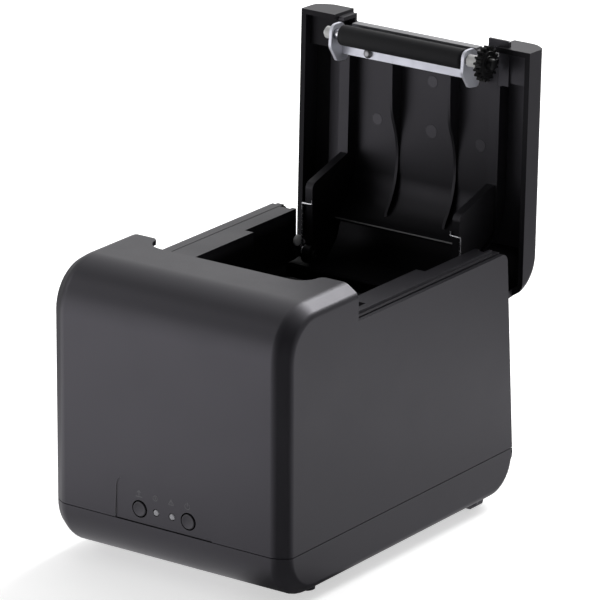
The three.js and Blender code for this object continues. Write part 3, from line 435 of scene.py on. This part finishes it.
def arc(r, a0, a1, n=14, c=(0, 0)):
    return [(c[0] + r * math.cos(math.radians(a0 + (a1 - a0) * i / n)), c[1] + r * math.sin(math.radians(a0 + (a1 - a0) * i / n))) for i in range(n + 1)]
flat_icon("sign_feed", [[(-1.9, -1.5), (1.9, -1.5)], [(0, -0.9), (0, 1.7)], [(-1.0, 0.7), (0, 1.8), (1.0, 0.7)]], -17.3, 45.0)
flat_icon("sign_lamp", [arc(1.35, 0, 360, 20), [(0, -0.5), (0, 0.5)]], -7.2, 44.8)
flat_icon("sign_alert", [[(-1.6, -1.3), (1.6, -1.3), (0, 1.5), (-1.6, -1.3)], [(0, -0.6), (0, 0.5)]], 2.6, 44.8)
flat_icon("sign_power", [arc(1.5, 125, 415, 22), [(0, 0.2), (0, 2.0)]], 12.6, 44.9)

for n, x in (("foot_front_left", -38), ("foot_front_right", 38)):
    bm = bmesh.new()
    lathe(bm, [(0.35, 0), (0.3, 3.0), (0.12, 3.6), (0.0, 4.0), (0.0, 4.9), (0.2, 5.5), (0.7, 5.9), (1.3, 6.1), (2.6, 6.5), (4.5, 6.9), (4.7, 6.8), (4.7, 0)], (x, 46, 0), 'Z', 48)
    put(solid(n + "_pad", bm, BASE, 50), n)

# platen: rubber sleeve with rounded ends, turned shaft with a groove for its clip
bm = bmesh.new()
lathe(bm, [(-37.6, 2.7), (-37.6, 4.7), (-37.45, 5.1), (-37.1, 5.33), (-36.7, 5.4), (36.7, 5.4), (37.1, 5.33), (37.45, 5.1), (37.6, 4.7), (37.6, 2.7), (-37.6, 2.7)], (0, 69.6, 128), 'X', 72)
put(solid("platen_sleeve", bm, LID), "platen_roller")
bm = bmesh.new()
lathe(bm, [(-48.2, 0), (-48.2, 2.0), (-47.8, 2.38), (-40, 2.38), (40, 2.38), (53.6, 2.38), (53.6, 1.9), (54.3, 1.9), (54.3, 2.38), (55.2, 2.38), (55.6, 2.0), (55.6, 0)], (0, 69.6, 128), 'X', 40)
put(solid("platen_spindle", bm, LID), "platen_shaft")
for n, a, b in (("platen_bush_left", -47.3, -43.5), ("platen_bush_right", 40.8, 49.0)):
    bm = bmesh.new()
    lathe(bm, [(a, 2.6), (a, 2.95), (a + 0.25, 3.2), (b - 0.25, 3.2), (b, 2.95), (b, 2.6), (a, 2.6)], (0, 69.6, 128), 'X', 44)
    put(solid(n + "_turned", bm, LID), n)
# raised hub and rim ring on the platen gear's outer face
bm = bmesh.new()
lathe(bm, [(52.6, 2.75), (53.15, 2.75), (53.3, 2.9), (53.3, 4.2), (53.15, 4.35), (52.95, 4.4), (52.95, 5.9), (53.1, 6.0), (53.1, 6.7), (52.95, 6.85), (52.6, 6.9), (52.6, 2.75)], (0, 69.6, 128), 'X', 56)
put(solid("platen_gear_hub", bm, LID), "platen_gear", replaces=False)

# hinge pins with their domed bosses
M["boss"] = plastic("boss_plastic", (0.62, 0.62, 0.625), (0.70, 0.70, 0.705), 0.40, grain=1500, strength=0.15, spec=0.4)
for n, sx in (("hinge_pin_left", -1), ("hinge_pin_right", 1)):
    bm = bmesh.new()
    lathe(bm, [(sx * 61, 0), (sx * 61, 2.3), (sx * 60.8, 2.5), (sx * 43.0, 2.5), (sx * 42.6, 2.15), (sx * 42.6, 1.2), (sx * 43.0, 1.0), (sx * 43.0, 0)], (0, 186, 115), 'X', 40)
    put(solid(n + "_pin", bm, BASE), n, "dark_pin")
    bm = bmesh.new()
    lathe(bm, [(sx * 51.9, 0), (sx * 51.9, 2.9), (sx * 50.7, 2.9), (sx * 50.35, 2.6), (sx * 50.1, 1.7), (sx * 50.0, 0)], (0, 182.0, 122.4), 'X', 44)
    put(solid(n + "_boss", bm, BASE, 50), n, "boss", replaces=False)
    bm = bmesh.new()
    rbox(bm, (min(sx * 51.8, sx * 51.0), 180.6, 113.2), (max(sx * 51.8, sx * 51.0), 187.4, 121.5), 0.35, 2)
    put(solid(n + "_plate", bm, BASE), n, "dark_pin", replaces=False)

def helix(cx, cy, cz, axis, r, p0, p1, turns, n=26, ph=0.0):
    out = []
    for i in range(int(turns * n) + 1):
        t = i / (turns * n); a = ph + 2 * math.pi * turns * t; u, v, q = r * math.cos(a), r * math.sin(a), p0 + (p1 - p0) * t
        out.append((q, cy + u, cz + v) if axis == 'X' else (cx + v, q, cz + u))
    return out
# lid torsion springs
for n, sx in (("lid_spring_left", -1), ("lid_spring_right", 1)):
    xw = sx * 49.3
    coil = helix(0, 186, 115, 'X', 3.35, sx * 48.75, sx * 49.95, 2.25, ph=math.radians(180))
    leg = catmull([(sx * 49.95, 186 - 3.3 * math.cos(math.radians(60)), 115 - 3.3), (xw, 178, 112.0), (xw, 163, 112.0), (xw, 158.9, 111.9), (sx * 48.9, 158.3, 111.8), (sx * 46.0, 158.2, 111.8), (sx * 43.6, 158.0, 111.85), (sx * 43.2, 157.4, 111.9), (sx * 43.2, 155.9, 111.9)], 6)
    o = tube(n + "_wire", [LID @ Vector(p) for p in coil + leg[1:]], 0.00047, 14)
    put(o, n, "steel")
# head springs
for n, x in (("head_spring_left", -20), ("head_spring_right", 20)):
    o = tube(n + "_coil", [BASE @ Vector(p) for p in helix(x, 0, 124, 'Y', 2.35, 51.65, 54.35, 4.0)], 0.00032, 12)
    put(o, n, "steel")
# black cap on the shaft's end, over the gear
bm = bmesh.new()
lathe(bm, [(53.0, 0), (53.0, 3.3), (55.4, 3.2), (56.0, 2.9), (56.35, 2.2), (56.5, 0)], (0, 69.6, 128), 'X', 40)
put(solid("platen_gear_cap", bm, LID, 50), "platen_gear", replaces=False)
M["screw"] = metal("dull_screw", (0.26, 0.26, 0.27), (0.34, 0.34, 0.35), 0.42, scale=500)
bm = bmesh.new()
lathe(bm, [(131.9, 0), (131.95, 0.9), (132.1, 1.6), (132.5, 2.15), (133.0, 2.4), (133.5, 2.4), (133.55, 1.5), (139.2, 1.5), (139.5, 1.2), (139.5, 0)], (-25.2, 78.6, 0), 'Z', 36)
put(solid("bracket_screw_head", bm, LID, 50), "bracket_screw", "screw")
for o in (up, lo, lc):
    for v in o.data.vertices: v.co.x = max(-0.0725, min(0.0725, v.co.x))
# smooth bead along the liner's lower edge, coloured lighter than the liner: a painted highlight
M["bead"] = plastic("liner_bead_painted_highlight", (0.13, 0.13, 0.135), (0.19, 0.19, 0.196), 0.36, grain=1500, strength=0.15, spec=0.5)
put(tube("liner_bead_painted_highlight", [LID @ Vector((-43.2 + 86.4 * k / 8, 169.95, 133.12)) for k in range(9)], 0.00042, 12), "lid_liner", "bead", replaces=False)
M["boss"].node_tree.nodes["Principled BSDF"].inputs["Specular IOR Level"].default_value = 0.5
# faint ejector marks on the liner's inner face
for k, (x, y, r) in enumerate(((4.0, 118.5, 3.6), (-30.0, 118.0, 3.2), (34.5, 120.5, 3.2), (4.0, 92.0, 3.2))):
    bm = bmesh.new()
    lathe(bm, [(150.16, 0), (150.16, r - 0.25), (150.10, r - 0.15), (150.10, r), (150.3, r + 0.12), (150.3, 0)], (x, y, 0), 'Z', 40)
    put(solid("liner_mark_%d" % k, bm, LID, 20), "lid_liner", replaces=False)

# ------------------------------------------------------------------ carried-over nodes keep their mesh and get a finish
replaced = {n for n, o in NODES.items() if False}
for n, o in NODES.items():
    o.data.materials.clear()
    o.data.materials.append(M["button" if n.endswith("_button") else SLOT_OF[n]])

# ------------------------------------------------------------------ camera
cam = bpy.data.cameras.new("camera"); camo = bpy.data.objects.new("camera", cam)
bpy.context.scene.collection.objects.link(camo)
AZ, EL, RO = math.radians(35.57219), math.radians(18.82825), math.radians(0.20589)
back = Vector((math.sin(AZ) * math.cos(EL), -math.cos(AZ) * math.cos(EL), math.sin(EL)))
right = Vector((math.cos(AZ), math.sin(AZ), 0)); upv = back.cross(right)
r2 = right * math.cos(RO) + upv * math.sin(RO)
u2 = -right * math.sin(RO) + upv * math.cos(RO)
C = Vector((1.5572728, -2.0645737 - CY, 1.0317938))
camo.matrix_world = Matrix(((r2.x, u2.x, back.x, C.x), (r2.y, u2.y, back.y, C.y), (r2.z, u2.z, back.z, C.z), (0, 0, 0, 1)))
cam.sensor_width = 36.0; cam.lens = 5600.1275 / 600 * 36.0
cam.clip_start, cam.clip_end = 0.05, 60
bpy.context.scene.camera = camo

# ------------------------------------------------------------------ stage
def floor():
    bm = bmesh.new(); bmesh.ops.create_grid(bm, x_segments=1, y_segments=1, size=6)
    me = bpy.data.meshes.new("floor"); bm.to_mesh(me); bm.free()
    o = bpy.data.objects.new("floor", me); bpy.context.scene.collection.objects.link(o)
    m, nt, b = new_mat("pale_floor")
    v = coords(nt)
    n = tex(nt, "ShaderNodeTexNoise", Scale=3.0, Detail=2.0)
    nt.links.new(v, n.inputs["Vector"])
    nt.links.new(ramp(nt, n.outputs["Fac"], [(0.3, (0.90, 0.90, 0.90)), (0.7, (0.92, 0.92, 0.92))]), b.inputs["Base Color"])
    b.inputs["Roughness"].default_value = 0.9
    b.inputs["Specular IOR Level"].default_value = 0.1
    b.inputs["Emission Color"].default_value = (1.0, 1.0, 1.0, 1)
    b.inputs["Emission Strength"].default_value = 0.55
    me.materials.append(m)
floor()

def chain(nt, op, a, b_, c=None):
    n = nt.nodes.new("ShaderNodeMath"); n.operation = op
    for k, v in enumerate((a, b_, c)):
        if v is None: continue
        if hasattr(v, "is_linked"): nt.links.new(v, n.inputs[k])
        else: n.inputs[k].default_value = v
    return n.outputs[0]

def reflector():
    """Studio card lying on the floor, seen only in reflections: light where the photo's faces mirror a light table, dark on the photographer's side."""
    bm = bmesh.new(); bmesh.ops.create_grid(bm, x_segments=1, y_segments=1, size=3.0)
    bmesh.ops.translate(bm, verts=bm.verts, vec=(0, 0, 0.0004))
    me = bpy.data.meshes.new("reflector"); bm.to_mesh(me); bm.free()
    o = bpy.data.objects.new("reflector", me); bpy.context.scene.collection.objects.link(o)
    m = bpy.data.materials.new("reflector_card"); m.use_nodes = True; nt = m.node_tree; nt.nodes.clear()
    out = nt.nodes.new("ShaderNodeOutputMaterial"); em = nt.nodes.new("ShaderNodeEmission")
    nt.links.new(em.outputs[0], out.inputs["Surface"])
    tc = nt.nodes.new("ShaderNodeTexCoord"); sx = nt.nodes.new("ShaderNodeSeparateXYZ"); nt.links.new(tc.outputs["Object"], sx.inputs[0])
    X, Y = sx.outputs["X"], sx.outputs["Y"]
    phi = chain(nt, 'ARCTAN2', X, chain(nt, 'MULTIPLY', Y, -1.0))                 # 0 towards -Y, positive towards +X
    t = chain(nt, 'MULTIPLY_ADD', phi, 1 / (2 * math.pi), 0.5)
    d = chain(nt, 'SQRT', chain(nt, 'ADD', chain(nt, 'MULTIPLY', X, X), chain(nt, 'MULTIPLY', Y, Y)), 0.0)
    def around(stops):
        r = nt.nodes.new("ShaderNodeValToRGB"); e = r.color_ramp.elements; r.color_ramp.interpolation = 'EASE'
        pts = [((deg + 180) / 360, v / 2) for deg, v in stops]
        e[0].position = pts[0][0]; e[0].color = (pts[0][1],) * 3 + (1,)
        e[1].position = pts[-1][0]; e[1].color = (pts[-1][1],) * 3 + (1,)
        for q, v in pts[1:-1]: k = e.new(q); k.color = (v, v, v, 1)
        nt.links.new(t, r.inputs["Fac"])
        sp = nt.nodes.new("ShaderNodeSeparateColor"); nt.links.new(r.outputs["Color"], sp.inputs[0])
        return sp.outputs[0]
    tone = around(NEAR)
    for ring, r0, r1 in ((MID, 0.16, 0.27), (FAR, 0.30, 0.48)):
        mr = nt.nodes.new("ShaderNodeMapRange"); mr.interpolation_type = 'SMOOTHSTEP'
        mr.inputs["From Min"].default_value, mr.inputs["From Max"].default_value = r0, r1
        nt.links.new(d, mr.inputs["Value"])
        mix = nt.nodes.new("ShaderNodeMix"); mix.data_type = 'FLOAT'
        nt.links.new(mr.outputs["Result"], mix.inputs[0]); nt.links.new(tone, mix.inputs[2]); nt.links.new(around(ring), mix.inputs[3])
        tone = mix.outputs[0]
    nt.links.new(chain(nt, 'MULTIPLY', tone, 2.0), em.inputs["Strength"])
    em.inputs["Color"].default_value = (0.99, 0.98, 1.0, 1)
    me.materials.append(m)
    o.visible_camera = False; o.visible_diffuse = False; o.visible_transmission = False; o.visible_shadow = False
# tone round the object by azimuth, degrees: near the foot, and further out
NEAR = [(-180, 0.8), (-130, 0.25), (-88, 0.25), (-60, 0.75), (-15, 0.8), (14, 0.75), (25, 0.05), (48, 0.05), (60, 0.6), (100, 0.68), (180, 0.8)]
MID = [(-180, 0.9), (-130, 0.25), (-85, 0.25), (-58, 1.6), (-15, 1.6), (6, 0.8), (20, 0.03), (54, 0.03), (68, 0.9), (100, 1.1), (180, 1.0)]
FAR = [(-180, 0.9), (-130, 0.25), (-80, 0.3), (-58, 1.9), (-18, 1.9), (2, 0.35), (15, 0.02), (62, 0.02), (90, 0.40), (118, 1.0), (130, 0.62), (150, 0.30), (180, 0.5)]
reflector()

sc = bpy.context.scene
w = bpy.data.worlds.new("studio"); sc.world = w; w.use_nodes = True
nt = w.node_tree
bg = nt.nodes["Background"]
tc = nt.nodes.new("ShaderNodeTexCoord")
# bright all round, with soft dark flags towards the photographer, overhead in front, and to the right
level = None
for c, x0, x1, lo_ in (((0.56, -0.78, 0.28), 0.40, 0.93, 0.05), ((-0.37, -0.53, 0.77), 0.78, 0.975, 0.22), ((-0.56, -0.82, -0.06), 0.84, 0.975, 1.9), ((0.62, 0.77, 0.08), 0.80, 0.985, 0.35), ((-0.95, 0.10, 0.25), 0.72, 0.97, 0.35), ((0.25, -0.55, 0.80), 0.55, 0.95, 0.30), ((0.95, 0.25, 0.20), 0.55, 0.97, 0.45)):
    dot = nt.nodes.new("ShaderNodeVectorMath"); dot.operation = 'DOT_PRODUCT'
    nt.links.new(tc.outputs["Generated"], dot.inputs[0]); dot.inputs[1].default_value = Vector(c).normalized()
    mr = nt.nodes.new("ShaderNodeMapRange"); mr.interpolation_type = 'SMOOTHSTEP'
    for k, v in zip(("From Min", "From Max", "To Min", "To Max"), (x0, x1, 1.0, lo_)): mr.inputs[k].default_value = v
    nt.links.new(dot.outputs["Value"], mr.inputs["Value"])
    if level is None: level = mr.outputs["Result"]
    else:
        mu = nt.nodes.new("ShaderNodeMath"); mu.operation = 'MULTIPLY'
        nt.links.new(level, mu.inputs[0]); nt.links.new(mr.outputs["Result"], mu.inputs[1]); level = mu.outputs[0]
bg.inputs["Color"].default_value = (1, 1, 1, 1)
nt.links.new(level, bg.inputs["Strength"])

def area(name, loc, target, size, power, color=(1, 1, 1), sy=None):
    L = bpy.data.lights.new(name, 'AREA'); L.energy = power; L.color = color
    L.shape = 'RECTANGLE'; L.size = size; L.size_y = sy or size
    o = bpy.data.objects.new(name, L); bpy.context.scene.collection.objects.link(o)
    d = Vector(target) - Vector(loc)
    o.matrix_world = Matrix.Translation(loc) @ d.to_track_quat('-Z', 'Y').to_matrix().to_4x4()
    return o
area("top_back", (0.15, 1.6, 1.45), (0, 0, 0.1), 1.2, 36)
area("left_key", (-1.6, -0.9, 1.3), (0, 0, 0.1), 1.1, 5)

sc.view_settings.view_transform = 'Standard'
sc.view_settings.look = 'None'
sc.view_settings.exposure = 0.0
